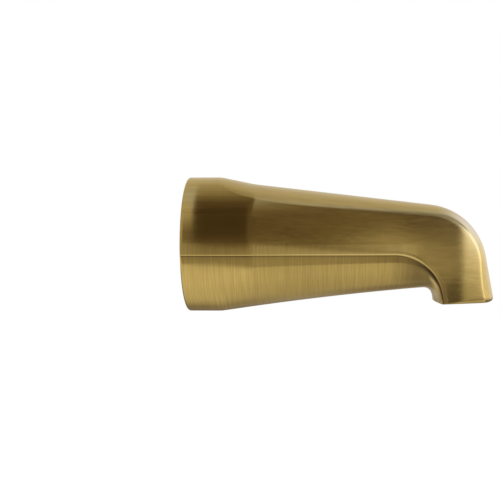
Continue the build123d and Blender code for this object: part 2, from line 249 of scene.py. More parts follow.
def nose_half(turn, inset):
    """Right half of a nose section in the plane that has swung by a turn about the bend's axis.
    Its side is the circle through three points of the spout's side in that plane."""
    crease = reach_to_circle(turn, crease_bend_centre, CREASE_BEND_RADIUS, bend_hinge)
    throat = 1 / np.sqrt((np.sin(turn) / THROAT_RUN) ** 2 + (np.cos(turn) / THROAT_RISE) ** 2)
    top = outline_reach(turn, bend_hinge, 0)
    h = np.stack([crease, (crease + top - EDGE_ROUND) / 2, top - EDGE_ROUND])
    y = side_reach(BEND_START + h * np.sin(turn), h * np.cos(turn) - OUTLET_DROP)
    dy1, dy2, dh1, dh2 = y[1] - y[0], y[2] - y[0], h[1] - h[0], h[2] - h[0]
    square1, square2, area = dy1**2 + dh1**2, dy2**2 + dh2**2, 2 * (dy1 * dh2 - dh1 * dy2)
    off_y, off_h = (dh2 * square1 - dh1 * square2) / area, (dy1 * square2 - dy2 * square1) / area
    crown_radius = blend(BEND_CROWN_RADIUS, FRONT_CROWN_RADIUS, turn / LAST_TURN)
    rounding = blend(EDGE_ROUND, FRONT_EDGE_ROUND, turn / LAST_TURN)
    return shell_half(y[0] + off_y, h[0] + off_h, np.hypot(off_y, off_h) - inset, top - inset,
                      crown_radius, crease, throat + THROAT_LIP_SHARE * inset,
                      0 * turn + LEDGE_AT_OUTLET, rounding)


def swung(y, h, turn, hinge):
    """Points of a section whose plane has swung about a hinge: h runs along (sin, cos)."""
    turn = column(turn)
    return np.stack([hinge[0] + h * np.sin(turn), y, hinge[1] + h * np.cos(turn)], axis=-1)


def upright(y, h, x):
    """Points of a section in an upright plane across the spout."""
    return np.stack([column(x) + 0 * y, y, h], axis=-1)


def skin_points(s):
    """Outside of the spout at a distance s along it: the round wall end, the flare where the
    crown and the underside cut into that round, the tapering body, and the swinging nose."""
    wall_end = upright(*round_half(0 * s + BASE_RADIUS, WALL_END_CROWN, WALL_END_EDGE), s)
    cut = np.clip((s - BASE_LENGTH) / (FLARE_END - BASE_LENGTH), FIRST_CUT, 1)
    flare = upright(*shell_half(
        0 * s, 0 * s, 0 * s + BASE_RADIUS, blend(BASE_RADIUS, FLARE_TOP, cut),
        blend(FLARE_CROWN_RADIUS, CROWN_RADIUS, cut), 0 * s - CREASE_DROP,
        blend(LEDGE_AT_BASE - BASE_RADIUS, FLARE_BOTTOM, cut), 0 * s + LEDGE_AT_BASE,
        waist=-CREASE_DROP * cut), s)
    x = np.clip(s, FLARE_END, BEND_START)
    share = (x - FLARE_END) / (BEND_START - FLARE_END)
    past_turn = np.maximum(x - CREASE_TURN, 0)
    crease = np.sqrt(CREASE_BEND_RADIUS**2 - past_turn**2) - CREASE_BEND_RADIUS - CREASE_DROP
    hollow = UNDERSIDE_HOLLOW * (1 - (2 * share - 1) ** 2)
    body = upright(*shell_half(
        *side_arc(x), blend(FLARE_TOP, BEND_TOP, share), blend(CROWN_RADIUS, BEND_CROWN_RADIUS, share),
        crease, blend(FLARE_BOTTOM, BEND_BOTTOM, share) + hollow,
        blend(LEDGE_AT_BASE, LEDGE_AT_OUTLET, share)), x)
    turn = np.clip((s - BEND_START) / TURN_RADIUS, 0, LAST_TURN)
    nose = swung(*nose_half(turn, 0), turn, bend_hinge)
    at = s.reshape(-1, 1, 1)
    points = np.where(at <= BASE_LENGTH, wall_end, flare)
    points = np.where(at > FLARE_END, body, points)
    return np.where(at > BEND_START, nose, points)


def soft_skin(s):
    """Outside with its kinks ground soft: each point is the mean of the skin over a short
    window along the spout, widest at the flare's two ends and at the bend."""
    window = sum(widest * np.maximum(1 - np.abs(s - kink) / felt, 0)
                 for kink, widest, felt in SOFTENED_KINKS)
    offsets = np.linspace(-1, 1, 13)[1:-1]
    weights = 1 - np.abs(offsets)
    spread = [weight * skin_points(s + offset * window) for offset, weight in zip(offsets, weights)]
    return np.sum(spread, axis=0) / np.sum(weights)


rim_angle = np.linspace(0, np.pi / 2, 8)
rim_loops = upright(*round_half(BASE_RADIUS - RIM_ROUND * (1 - np.sin(rim_angle)),
                                WALL_END_CROWN, WALL_END_EDGE),
                    RIM_ROUND * (1 - np.cos(rim_angle)))
lip_start = BEND_START + TURN_RADIUS * (LAST_TURN - LIP_TURN)
# The loops stand closest together where the skin turns most.
skin_loops = soft_skin(np.concatenate([
    [1.3, 3, 5, 7, 9], np.linspace(10.5, 18, 22), np.linspace(18.5, 24, 9),
    np.linspace(24.4, 34, 18), np.linspace(35, 84, 26), np.linspace(85, 106, 30),
    np.linspace(106.8, lip_start, 46)]))
lip_angle = np.linspace(0, np.pi / 2, 9)[1:]
lip_turns = LAST_TURN - LIP_TURN * (1 - np.sin(lip_angle))
lip_loops = swung(*nose_half(lip_turns, LIP_ROUND * (1 - np.cos(lip_angle))), lip_turns, bend_hinge)

# Outlet and water chamber
# The open mouth under the nose, where the water falls out. A core drawn down through it left
# a chamber with an even wall behind the nose, and the inlet's bore opens in its back.
NOSE_WALL = 2.4
CHAMBER_BACK = 106.9
CHAMBER_TOP = 9.5
CHAMBER_FOOT = -25.55
CHAMBER_TOP_HALF_WIDTH = 10.5
CHAMBER_CORNER = 2.0
CHAMBER_BACK_BULGE = 1.7
CHAMBER_TOP_BULGE = 0.3
CHAMBER_TAPER = np.radians(8.6)
CORE_STEP = 0.15
CORE_CROWN_RADIUS = 36.0
FAN_HEIGHT = -10.4
MOUTH_FLAT_SHARE = 0.94
MOUTH_EDGE_RISE = 0.25
BORE_RADIUS = 9.2

outlet_half_width = side_reach(CHAMBER_BACK, -OUTLET_DROP) - NOSE_WALL


def chamber_half_width(z):
    """Half the chamber's width, narrowing in a straight line from its foot to its top."""
    share = (z - CHAMBER_FOOT) / (CHAMBER_TOP - CHAMBER_FOOT)
    return blend(outlet_half_width, CHAMBER_TOP_HALF_WIDTH, share)


def chamber_points(height, turn):
    """Chamber section in a plane hinged at the chamber's back at a height and swung up from
    level by a turn: its front is the crown, and its width follows the height of each point."""
    heading = np.pi / 2 - turn
    reach = np.array([outline_reach(one, np.array([CHAMBER_BACK, level]), NOSE_WALL)
                      for one, level in zip(heading, height)])
    roof = (CHAMBER_TOP - height) / np.maximum(np.sin(turn), 1e-6)
    reach = np.minimum(reach, roof)
    bulge = blend(CHAMBER_BACK_BULGE, CHAMBER_TOP_BULGE, turn / (np.pi / 2))
    y, h = shell_half(outlet_half_width - SIDE_RADIUS * np.cos(CHAMBER_TAPER) + 0 * turn,
                      bulge - SIDE_RADIUS * np.sin(CHAMBER_TAPER), SIDE_RADIUS + 0 * turn,
                      reach, CORE_CROWN_RADIUS + 0 * turn, bulge, 0 * turn, CORE_STEP + 0 * turn,
                      CHAMBER_CORNER)
    x = CHAMBER_BACK + h * np.cos(column(turn))
    z = column(height) + h * np.sin(column(turn))
    return np.stack([x, y * chamber_half_width(z) / outlet_half_width, z], axis=-1)


rise = np.concatenate([[-24.3, -23.9], np.linspace(-23, FAN_HEIGHT, 16)])
fan = np.linspace(0, np.pi / 2, 26)[1:]
level_loops = chamber_points(rise, 0 * rise)
fan_loops = chamber_points(0 * fan + FAN_HEIGHT, fan)
# The two lowest loops lie in the mouth's tilted plane and just above it.
tilt = np.tan(np.pi / 2 - LAST_TURN)
mouth_plane = -OUTLET_DROP + (level_loops[:2, :, 0] - BEND_START) * tilt
level_loops[:2, :, 2] = mouth_plane + [[0], [MOUTH_EDGE_RISE]]
mouth_edge = blend(lip_loops[-1], level_loops[0], MOUTH_FLAT_SHARE)[None]
chamber_loops = np.concatenate([mouth_edge, level_loops, fan_loops])
back_angle = np.arctan2(fan_loops[-1, :, 2], fan_loops[-1, :, 1])

# Inlet thread and boss
# The half-inch pipe thread is cut in a boss on the bulkhead, after casting and before plating.
# The plate is bright brass on what was cut: the thread, its countersunk mouth and the boss.
BOSS_FACE = 89.1
BULKHEAD_FACE = 95.1
MOUTH_RADIUS = 10.6
MOUTH_DEPTH = 1.4
EDGE_BREAK = 0.04
THREAD_PITCH = 1.814
THREAD_DEPTH = 1.1
THREAD_STEEPNESS = 1.35
THREAD_CREST = 0.18
THREAD_START = BOSS_FACE + 1.1
THREAD_FULL_FROM = BOSS_FACE + 1.9
THREAD_FULL_TO = 103.0
THREAD_END = 104.5

even_angle = np.linspace(np.pi / 2, -np.pi / 2, back_angle.size)


def ring(x, radius, angle):
    """Right half of rings about the axis: (x, r cos a, r sin a) from the top to the bottom."""
    x, radius = column(x) + 0 * angle, column(radius) + 0 * angle
    return np.stack([x, radius * np.cos(angle), radius * np.sin(angle)], axis=-1)


# Near the chamber the bore's points spread out to meet those of the chamber's back.
bore_x = np.linspace(CHAMBER_BACK - 0.05, BOSS_FACE + MOUTH_DEPTH, 118)
spread = ease(column(bore_x), CHAMBER_BACK - 3.5, CHAMBER_BACK - 0.1)
bore_angle = blend(even_angle, back_angle, spread)
bore_loops = ring(bore_x, 0 * bore_x + BORE_RADIUS, bore_angle)
mouth_x = np.array([BOSS_FACE + MOUTH_DEPTH / 2, BOSS_FACE + EDGE_BREAK, BOSS_FACE])
mouth_radius = [blend(BORE_RADIUS, MOUTH_RADIUS, 0.5), MOUTH_RADIUS - EDGE_BREAK, MOUTH_RADIUS]
mouth_loops = ring(mouth_x, mouth_radius, even_angle)
# Profile of the boss: its flat ring, a small round, a leaning side and a fillet at its foot.
boss_x = np.array([BOSS_FACE, BOSS_FACE, BOSS_FACE + 0.09, BOSS_FACE + 0.3, 91, 93, 94.2, 94.8, 95.02])
boss_radius = np.array([11.0, 11.9, 12.11, 12.27, 12.7, 13.2, 13.55, 13.95, 14.5])
boss_loops = ring(boss_x, boss_radius, even_angle)

# Bulkhead and pipe cavity
# The hollow that takes the supply pipe, open to the wall. The bulkhead across its far end keeps
# the coarse, silvery skin of the casting, and the walls are dark with plating that ran inside.
CAVITY_MOUTH_RADIUS = 27.0
CORE_OVERRUN = 1.0
BODY_WALL = 2.4
INNER_EDGE_ROUND = 3.2

cavity_share = (BULKHEAD_FACE - FLARE_END) / (BEND_START - FLARE_END)
cavity_bottom = (blend(FLARE_BOTTOM, BEND_BOTTOM, cavity_share) + BODY_WALL
                 + UNDERSIDE_HOLLOW * (1 - (2 * cavity_share - 1) ** 2))
cavity_flank = side_arc(BULKHEAD_FACE)
cavity_y, cavity_h = shell_half(
    *cavity_flank[:2], cavity_flank[2] - BODY_WALL,
    blend(FLARE_TOP, BEND_TOP, cavity_share) - BODY_WALL, CORE_CROWN_RADIUS, -CREASE_DROP,
    cavity_bottom, CORE_STEP, INNER_EDGE_ROUND)
cavity_end = upright(cavity_y, cavity_h, BULKHEAD_FACE)[0]
last_crown, last_edge = crown_share.size - 1, crown_share.size + edge_share.size - 1
split = np.arctan2(cavity_y[0], cavity_h[0])
core_mouth = round_half(CAVITY_MOUTH_RADIUS, split[last_crown], split[last_edge], CORE_STEP)
cavity_mouth = upright(*core_mouth, -CORE_OVERRUN)[0]
face_share = np.array([0.25, 0.5, 0.75, 0.93, 0.98]).reshape(-1, 1, 1)
face_loops = blend(boss_loops[-1], cavity_end, face_share)
face_loops[:, :, 0] = BULKHEAD_FACE - np.array([[0.0], [0], [0], [0.02], [0.12]])
wall_share = np.concatenate([[0.004], np.linspace(0.015, 0.97, 40), [0.985, 0.9875]]).reshape(-1, 1, 1)
cavity_loops = blend(cavity_end, cavity_mouth, wall_share)


def turn_and_reach(loop):
    """Angle from the top and distance from the axis of each point of an upright loop."""
    return np.arctan2(loop[:, 1], loop[:, 2]), np.hypot(loop[:, 1], loop[:, 2])


rim_share = column(np.linspace(0.03, 0.97, 36))
mouth_turn, mouth_reach = turn_and_reach(cavity_loops[-1])
edge_turn, edge_reach = turn_and_reach(rim_loops[0])
rim_turn = blend(mouth_turn, edge_turn, rim_share)
rim_reach = blend(mouth_reach, edge_reach, rim_share)
rim_face = upright(rim_reach * np.sin(rim_turn), rim_reach * np.cos(rim_turn), 0.0)

# Rim pad
# A small cast pad inside the foot of the rim, gently arched on top. Its face lies a hair behind
# the wall face. It is drilled or filed on site when the spout has to sit true, so it is bare.
PAD_HALF_WIDTH = 6.25
PAD_LENGTH = 5.6
PAD_TOP = -24.6
PAD_ARCH = 0.75
PAD_ROUND = 0.35
PAD_FRONT = 0.02
PAD_FOOT_RADIUS = 27.7
PAD_HALF_HEIGHT = 1.45

pad_v = np.linspace(0, 1, 33)
pad_y = PAD_HALF_WIDTH * (1 - 2 * pad_v)
pad_top = PAD_TOP - PAD_ARCH * (pad_y / PAD_HALF_WIDTH) ** 2
pad_foot = -np.sqrt(PAD_FOOT_RADIUS**2 - pad_y**2)
pad_ring = np.concatenate([np.stack([pad_y, pad_top], 1), np.stack([pad_y, pad_foot], 1)[::-1]])
pad_depth = np.array([PAD_FRONT, PAD_FRONT, 0.05, 0.14, PAD_ROUND, 2, 4,
                      PAD_LENGTH - 0.4, PAD_LENGTH - 0.1, PAD_LENGTH])
pad_inset = np.array([1.0, 0.35, 0.2, 0.08, 0.0, 0.0, 0.0, 0.0, 0.1, 0.4])
pad_middle = pad_ring.mean(axis=0)
pad_scale = 1 - pad_inset[:, None, None] / np.array([PAD_HALF_WIDTH, PAD_HALF_HEIGHT])
pad_loops = np.concatenate([
    np.broadcast_to(pad_depth[:, None, None], (pad_depth.size, pad_ring.shape[0], 1)),
    pad_middle + (pad_ring - pad_middle) * pad_scale], axis=2)

# The casting put together
# All of these surfaces are cast as one: rim, outside, lip, chamber, bore, boss, bulkhead and cavity
# follow each other as loops and close back on the rim, which makes one watertight shell. The pad is
# a second closed shell, sunk in the wall.
MILLIMETRE = 0.001
SHARP_ANGLE = np.radians(38)

groups = [
    ("rim", rim_loops), ("skin", skin_loops), ("lip", lip_loops), ("chamber", chamber_loops),
    ("bore", bore_loops), ("mouth", mouth_loops), ("boss", boss_loops), ("face", face_loops),
    ("cavity", cavity_loops), ("rim_face", rim_face),
]
half = np.concatenate([loops for _, loops in groups])
kind = np.concatenate([np.full(len(loops), name) for name, loops in groups])
other_half = half[:, -2:0:-1] * [1, -1, 1]
shell = np.concatenate([half, other_half], axis=1)
rows, cols = shell.shape[:2]

# The thread's groove is a triangle wave that climbs round the axis, clipped flat at crest and root.
thread_angle = np.arctan2(shell[:, :, 2], shell[:, :, 1])
thread_phase = (shell[:, :, 0] / THREAD_PITCH - thread_angle / (2 * np.pi)) % 1
groove = np.clip(THREAD_STEEPNESS * (1 - np.abs(2 * thread_phase - 1)) - THREAD_CREST, 0, 1)
lead_in = ease(shell[:, :, 0], THREAD_START, THREAD_FULL_FROM)
run_out = lead_in * ease(-shell[:, :, 0], -THREAD_END, -THREAD_FULL_TO)
deeper = 1 + (kind == "bore")[:, None] * groove * run_out * THREAD_DEPTH / BORE_RADIUS
shell[:, :, 1:] = shell[:, :, 1:] * deeper[:, :, None]


def closed_quads(row_count, col_count, close_rows):
    """Quads of a grid of loops, closed round each loop and, if asked, from the last to the first."""
    row = np.arange(row_count if close_rows else row_count - 1)[:, None]
    col = np.arange(col_count)[None]
    next_row, next_col = (row + 1) % row_count, (col + 1) % col_count
    corners = [row * col_count + col, next_row * col_count + col,
               next_row * col_count + next_col, row * col_count + next_col]
    return np.stack([np.broadcast_to(c, (row.size, col.size)) for c in corners], axis=-1).reshape(-1, 4)


def outward(points, quads):
    """Quads turned to face out: reversed where the signed volume, the sum of corner triple
    products, comes out negative."""
    a, b, c, d = (points[quads[:, k]] for k in range(4))
    volume = np.sum(np.cross(a, b) * c) + np.sum(np.cross(a, c) * d)
    return quads if volume > 0 else quads[:, ::-1]


shell_points = shell.reshape(-1, 3)
shell_quads = outward(shell_points, closed_quads(rows, cols, True))
pad_rows, pad_cols = pad_loops.shape[:2]
pad_points = pad_loops.reshape(-1, 3)
pad_points = np.concatenate([pad_points, [pad_loops[0].mean(axis=0), pad_loops[-1].mean(axis=0)]])
pad_quads = outward(pad_points, closed_quads(pad_rows, pad_cols, False))
around = np.arange(pad_cols)
after = (around + 1) % pad_cols
last = (pad_rows - 1) * pad_cols
front_cap = np.stack([np.full(pad_cols, pad_points.shape[0] - 2), around, after], axis=1)
back_cap = np.stack([np.full(pad_cols, pad_points.shape[0] - 1), last + after, last + around], axis=1)
normal = np.cross(pad_points[front_cap[0, 1]] - pad_points[front_cap[0, 0]],
                  pad_points[front_cap[0, 2]] - pad_points[front_cap[0, 0]])
if normal[0] > 0:
    front_cap, back_cap = front_cap[:, ::-1], back_cap[:, ::-1]

offset = shell_points.shape[0]
all_points = np.concatenate([shell_points, pad_points]) * MILLIMETRE
faces = shell_quads.tolist() + (pad_quads + offset).tolist()
faces += (front_cap + offset).tolist() + (back_cap + offset).tolist()

casting_mesh = bpy.data.meshes.new("spout_casting")
casting_mesh.from_pydata(all_points.tolist(), [], faces)
casting_mesh.polygons.foreach_set("use_smooth", np.ones(len(faces), bool))
casting_mesh.set_sharp_from_angle(angle=SHARP_ANGLE)
casting = bpy.data.objects.new("spout_casting", casting_mesh)
bpy.context.scene.collection.objects.link(casting)
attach(casting, "root")
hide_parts("spout_body")


def add_field(mesh, name, shell_values, pad_value):
    """Store one number per point: the shell's grid of values, then one value for the pad."""
    values = np.concatenate([np.broadcast_to(shell_values, (rows, cols)).ravel(),
                             np.full(pad_points.shape[0], pad_value)])
    store = mesh.attributes.new(name, "FLOAT", "POINT")
    store.data.foreach_set("value", values.astype(np.float32))


# Brushed antique brass
# Brass plate on the casting, toned brown and then brushed back: along the spout on the upper
# shell and the nose, round it below mid-height. Tone stays under the crease, with painted shade
# added there, and edges are worn bright, with a painted highlight added on them. The plating that
# ran inside is dull, and the bulkhead, the rim's face and the pad are bare.


def of_kind(*names):
    """Column that is one on the loops of the named surfaces and nought on the others."""
    return np.isin(kind, names)[:, None] * 1.0


outside, plated_inside = of_kind("rim", "skin", "lip"), of_kind("cavity", "chamber")
half_place = np.arange(half.shape[1])
place = np.concatenate([half_place, half_place[-2:0:-1]])[None]
past_lip = place - (crown_share.size + edge_share.size + side_share.size)
x_all, z_all = shell[:, :, 0], shell[:, :, 2]

# Brushing runs round the spout below mid-height and along it elsewhere, and swings with the nose.
below_middle = ease(-z_all, -1.2, 0.6) * ease(-x_all, -101, -90)
underneath = (past_lip >= 3) * 1.0
turned = outside * np.maximum(below_middle, underneath)
on_side = ease(place, last_crown + 1, last_edge) * (past_lip < 3)
swing = np.arctan2(np.maximum(x_all - BEND_START, 0), z_all + OUTLET_DROP)
brush_turn = outside * on_side * swing * -np.sign(shell[:, :, 1]) / (2 * np.pi)

# The crease's lip and the nose's edge are worn bright and carry a painted highlight, the lip less so near
# the wall and at the nose's foot.
on_nose = ease(x_all, 92, 103)
at_foot = on_nose * ease(-z_all, 10, 20) * ease(-x_all, -113, -107)
lip_wear_and_highlight = np.exp(-((past_lip - 1.0 + on_nose) / (2.6 - 1.6 * on_nose)) ** 2) * outside
lip_wear_and_highlight = lip_wear_and_highlight * blend(0.5, 1, ease(x_all, 8, 50)) * (1 - 0.7 * at_foot)
edge_wear_and_highlight = np.exp(-((place - last_crown - 4.5) / 4.0) ** 2) * outside * ease(x_all, 96, 112)

# Tone stays in the corner under the crease, with painted shade added to it there. A painted
# shadow makes a dark line along the nose, and painted shade darkens the throat and the nose's
# foot. A painted highlight makes a band behind that line brighter.
corner_tone_and_shade = np.exp(-((past_lip - 5.6) / 1.1) ** 2) * outside
gap_shadow = outside * on_nose * np.exp(-((past_lip - 5.8) / 4.2) ** 4)
band_end = 17 + 16 * ease(-z_all, 15, 22)
highlight_band = outside * ease(past_lip, 10, 13) * ease(band_end - past_lip, 0, 8)
highlight_band = highlight_band * ease(x_all, 99, 102) * ease(-z_all, 8, 14)
# Painted shade in the throat.
throat = outside * (past_lip > 5) * ease(x_all, 82, 96) * ease(z_all, -19, -14) * (1 - highlight_band)
foot_shade = outside * (past_lip < 2) * at_foot
corner_tone_and_shade = np.maximum(corner_tone_and_shade * (1 - on_nose), np.maximum(0.9 * throat, 0.75 * foot_shade))
add_field(casting_mesh, "brushed_round", turned, 0.0)
add_field(casting_mesh, "brush_turn", brush_turn, 0.0)
add_field(casting_mesh, "wear_and_highlight", np.maximum(lip_wear_and_highlight, edge_wear_and_highlight), 0.2)
add_field(casting_mesh, "painted_highlight_band", highlight_band, 0.0)
add_field(casting_mesh, "tone_and_painted_shade", corner_tone_and_shade, 0.0)
add_field(casting_mesh, "painted_gap_shadow", gap_shadow, 0.0)
add_field(casting_mesh, "inside", plated_inside, 0.0)
add_field(casting_mesh, "dull", plated_inside, 1.0)
add_field(casting_mesh, "cast_skin", of_kind("face", "rim_face"), 0.8)
add_field(casting_mesh, "machined", of_kind("bore", "mouth", "boss"), 0.0)

# Map that the brushing follows: u runs round each loop and v from loop to loop, with the last
# loop's far side at 1. On the pad u and v are slanted measures of length instead.
PAD_MAP_SCALE = 20
PAD_MAP_U, PAD_MAP_V = [0.37, 1, 0], [1, 0, 1]
loop_vertices = np.empty(len(casting_mesh.loops), np.int32)
casting_mesh.loops.foreach_get("vertex_index", loop_vertices)
on_shell = loop_vertices < offset
row_of, col_of = loop_vertices // cols, loop_vertices % cols
loop_start = np.empty(len(casting_mesh.polygons), np.int32)
loop_count = np.empty(len(casting_mesh.polygons), np.int32)
casting_mesh.polygons.foreach_get("loop_start", loop_start)
casting_mesh.polygons.foreach_get("loop_total", loop_count)
face_of = np.repeat(np.arange(loop_count.size), loop_count)
least_col = np.minimum.reduceat(col_of, loop_start)[face_of]
most_col = np.maximum.reduceat(col_of, loop_start)[face_of]
least_row = np.minimum.reduceat(row_of, loop_start)[face_of]
most_row = np.maximum.reduceat(row_of, loop_start)[face_of]
u = np.where((most_col - least_col > 1) & (col_of == 0), cols, col_of) / cols
v = np.where((most_row - least_row > 1) & (row_of == 0), rows, row_of) / rows
u = np.where(on_shell, u, (all_points[loop_vertices] @ PAD_MAP_U) * PAD_MAP_SCALE)
v = np.where(on_shell, v, (all_points[loop_vertices] @ PAD_MAP_V) * PAD_MAP_SCALE)
section_map = casting_mesh.uv_layers.new(name="section_map")
section_map.data.foreach_set("uv", np.stack([u, v], axis=1).astype(np.float32).ravel())

brass = bpy.data.materials.new("antique_brass_brushed")
brass.use_nodes = True
brass_nodes, brass_links = brass.node_tree.nodes, brass.node_tree.links
shader = brass_nodes["Principled BSDF"]


def brass_node(kind_name, **settings):
    """New node of the finish, with its properties and input values set by name."""
    node = brass_nodes.new(kind_name)
    for name, value in settings.items():
        if name in node.inputs:
            node.inputs[name].default_value = value
        else:
            setattr(node, name, value)
    return node


def field(name):
    """Output of one of the casting's own number fields."""
    return brass_node("ShaderNodeAttribute", attribute_name=name).outputs["Fac"]


def feed(socket, value):
    """Give an input a value: a link from a socket, or a plain number or colour."""
    if isinstance(value, bpy.types.NodeSocket):
        brass_links.new(value, socket)
    else:
        socket.default_value = value


def mixed(factor, first, second, how="MIX"):
    """Colour of first and second mixed by a factor, each a colour or a socket."""
    node = brass_node("ShaderNodeMix", data_type="RGBA", blend_type=how)
    for socket, value in zip((node.inputs[0], node.inputs[6], node.inputs[7]), (factor, first, second)):
        feed(socket, value)
    return node.outputs[2]


def worked(operation, *values):
    """Result of a sum on numbers or sockets."""
    node = brass_node("ShaderNodeMath", operation=operation)
    for socket, value in zip(node.inputs, values):
        feed(socket, value)
    return node.outputs[0]


def ranged(value, low, high, to_low, to_high):
    """Socket's value carried from the range low to high into another range, and held there."""
    node = brass_node("ShaderNodeMapRange", **{
        "From Min": low, "From Max": high, "To Min": to_low, "To Max": to_high})
    feed(node.inputs["Value"], value)
    return node.outputs[0]


def noise(scale, detail, roughness):
    """Noise on the object's own metres, stretched by a scale along each axis."""
    mapping = brass_node("ShaderNodeMapping", Scale=scale)
    brass_links.new(object_space, mapping.inputs["Vector"])
    texture = brass_node("ShaderNodeTexNoise", Scale=1.0, Detail=detail, Roughness=roughness)
    brass_links.new(mapping.outputs[0], texture.inputs["Vector"])
    return texture.outputs["Fac"]


object_space = brass_node("ShaderNodeTexCoord").outputs["Object"]
brushed_round, wear_and_highlight = field("brushed_round"), field("wear_and_highlight")
tone_and_painted_shade, inside = field("tone_and_painted_shade"), field("inside")
cast_skin, machined = field("cast_skin"), field("machined")

fine_lines = noise((30, 1500, 1500), 1.0, 0.5)
broad_lines = noise((12, 500, 500), 1.0, 0.5)
along_lines = mixed(0.5, fine_lines, broad_lines)
round_lines = noise((2100, 45, 45), 2.0, 0.6)
lines = mixed(brushed_round, along_lines, round_lines)
clouds = noise((26, 26, 40), 3.0, 0.55)

BRASS = (0.47, 0.335, 0.107, 1)
BRASS_TONED = (0.40, 0.27, 0.082, 1)
# Worn brass, made lighter still as a painted highlight on the crease's lip and the nose's edge.
BRASS_RUBBED_AND_HIGHLIT = (0.68, 0.52, 0.2, 1)
# Painted shade over the antique tone: the corner under the crease, the throat and the nose's foot.
TONE_AND_SHADE_IN_CORNER = (0.13, 0.085, 0.035, 1)
# Painted highlight for the band behind the dark line.
BRASS_PAINTED_HIGHLIGHT = (0.92, 0.72, 0.34, 1)
# Painted shadow: the dark line under the crease's ledge.
PAINTED_GAP_SHADOW = (0.035, 0.022, 0.01, 1)
INNER_BRONZE = (0.25, 0.155, 0.08, 1)
CAST_SILVER = (0.62, 0.53, 0.47, 1)
CUT_BRASS = (0.60, 0.45, 0.20, 1)

tone = mixed(ranged(clouds, 0.35, 0.7, 0.0, 0.6), BRASS, BRASS_TONED)
along_light = ranged(along_lines, 0.3, 0.7, 0.88, 1.1)
round_light = ranged(round_lines, 0.3, 0.7, 0.86, 1.12)
line_light = mixed(brushed_round, along_light, round_light)
tone = mixed(1.0, tone, line_light, "MULTIPLY")
# Painted highlight on the lip and the nose's edge, over the wear there.
tone = mixed(worked("MULTIPLY", wear_and_highlight, 0.75), tone, BRASS_RUBBED_AND_HIGHLIT)
# Painted shade in the corner, the throat and the foot, over the antique tone.
tone = mixed(worked("MULTIPLY", tone_and_painted_shade, 0.8), tone, TONE_AND_SHADE_IN_CORNER)
# Painted highlight: the band behind the dark line.
tone = mixed(field("painted_highlight_band"), tone, BRASS_PAINTED_HIGHLIGHT)
# Painted shadow along the nose under the crease's ledge.
tone = mixed(field("painted_gap_shadow"), tone, PAINTED_GAP_SHADOW)
tone = mixed(inside, tone, INNER_BRONZE)
tone = mixed(machined, tone, CUT_BRASS)
tone = mixed(cast_skin, tone, CAST_SILVER)
brass_links.new(tone, shader.inputs["Base Color"])

brush_rough = ranged(lines, 0.3, 0.7, 0.165, 0.205)
rough = worked("ADD", brush_rough, worked("MULTIPLY", cast_skin, 0.12))
brass_links.new(rough, shader.inputs["Roughness"])
dull = field("dull")
bare_metal = worked("SUBTRACT", 1.0, worked("MULTIPLY", dull, 0.5))
brass_links.new(bare_metal, shader.inputs["Metallic"])
shader.inputs["Anisotropic"].default_value = 0.85
shader.inputs["Specular Tint"].default_value = (1.0, 0.96, 0.85, 1)
turned_by = worked("ADD", worked("MULTIPLY", brushed_round, 0.25), field("brush_turn"))
brass_links.new(turned_by, shader.inputs["Anisotropic Rotation"])
section_run = brass_node("ShaderNodeTangent", direction_type="UV_MAP", uv_map="section_map")
brass_links.new(section_run.outputs[0], shader.inputs["Tangent"])

grain = noise((900, 900, 900), 2.0, 0.6)
bump = brass_node("ShaderNodeBump", Strength=0.1, Distance=0.00002)
grainy = worked("MAXIMUM", worked("SUBTRACT", cast_skin, dull), 0.0)
brass_links.new(worked("MULTIPLY", grain, grainy), bump.inputs["Height"])
brass_links.new(bump.outputs[0], shader.inputs["Normal"])
casting_mesh.materials.append(brass)

# Floor
# A pale table sheet below the spout. It glows a little, so it reads white, and the rest of its
# brightness is light that falls on it, so the spout still shades it. From below it is clear, so
# that the underside can be looked at. Lengths are metres from here on.
FLOOR_LEVEL = -0.16
FLOOR_FRONT, FLOOR_BACK, FLOOR_SIDE = -0.225, 1.6, 1.6
MID_LENGTH = 0.064
SHEET_GREY = (0.6, 0.6, 0.6, 1)
SHEET_GLOW = 0.82

floor_u, floor_v = np.meshgrid(np.linspace(-FLOOR_SIDE, FLOOR_SIDE, 9),
                               np.linspace(FLOOR_FRONT, FLOOR_BACK, 9))
floor_points = np.stack([floor_u + MID_LENGTH, floor_v, 0 * floor_u + FLOOR_LEVEL], axis=-1)


def open_patch(name, points):
    """Stage object from a grid of points, open at its edges."""
    row_count, col_count = points.shape[:2]
    row, col = np.meshgrid(np.arange(row_count - 1), np.arange(col_count - 1), indexing="ij")
    first = (row * col_count + col).ravel()
    quads = np.stack([first, first + 1, first + col_count + 1, first + col_count], axis=1)
    mesh = bpy.data.meshes.new(name)
    mesh.from_pydata(points.reshape(-1, 3).tolist(), [], quads.tolist())
    patch = bpy.data.objects.new(name, mesh)
    bpy.context.scene.collection.objects.link(patch)
    return patch


floor = open_patch("table_sheet", floor_points)
pale = bpy.data.materials.new("pale_sheet")
pale.use_nodes = True
pale_nodes, pale_links = pale.node_tree.nodes, pale.node_tree.links
pale_nodes.clear()
pale_diffuse = pale_nodes.new("ShaderNodeBsdfDiffuse")
pale_diffuse.inputs["Color"].default_value = SHEET_GREY
pale_glow = pale_nodes.new("ShaderNodeEmission")
pale_glow.inputs["Strength"].default_value = SHEET_GLOW
pale_sum = pale_nodes.new("ShaderNodeAddShader")
pale_output = pale_nodes.new("ShaderNodeOutputMaterial")
pale_links.new(pale_diffuse.outputs[0], pale_sum.inputs[0])
pale_links.new(pale_glow.outputs[0], pale_sum.inputs[1])
pale_side = pale_nodes.new("ShaderNodeNewGeometry")
pale_clear = pale_nodes.new("ShaderNodeBsdfTransparent")
pale_pick = pale_nodes.new("ShaderNodeMixShader")
pale_links.new(pale_side.outputs["Backfacing"], pale_pick.inputs[0])
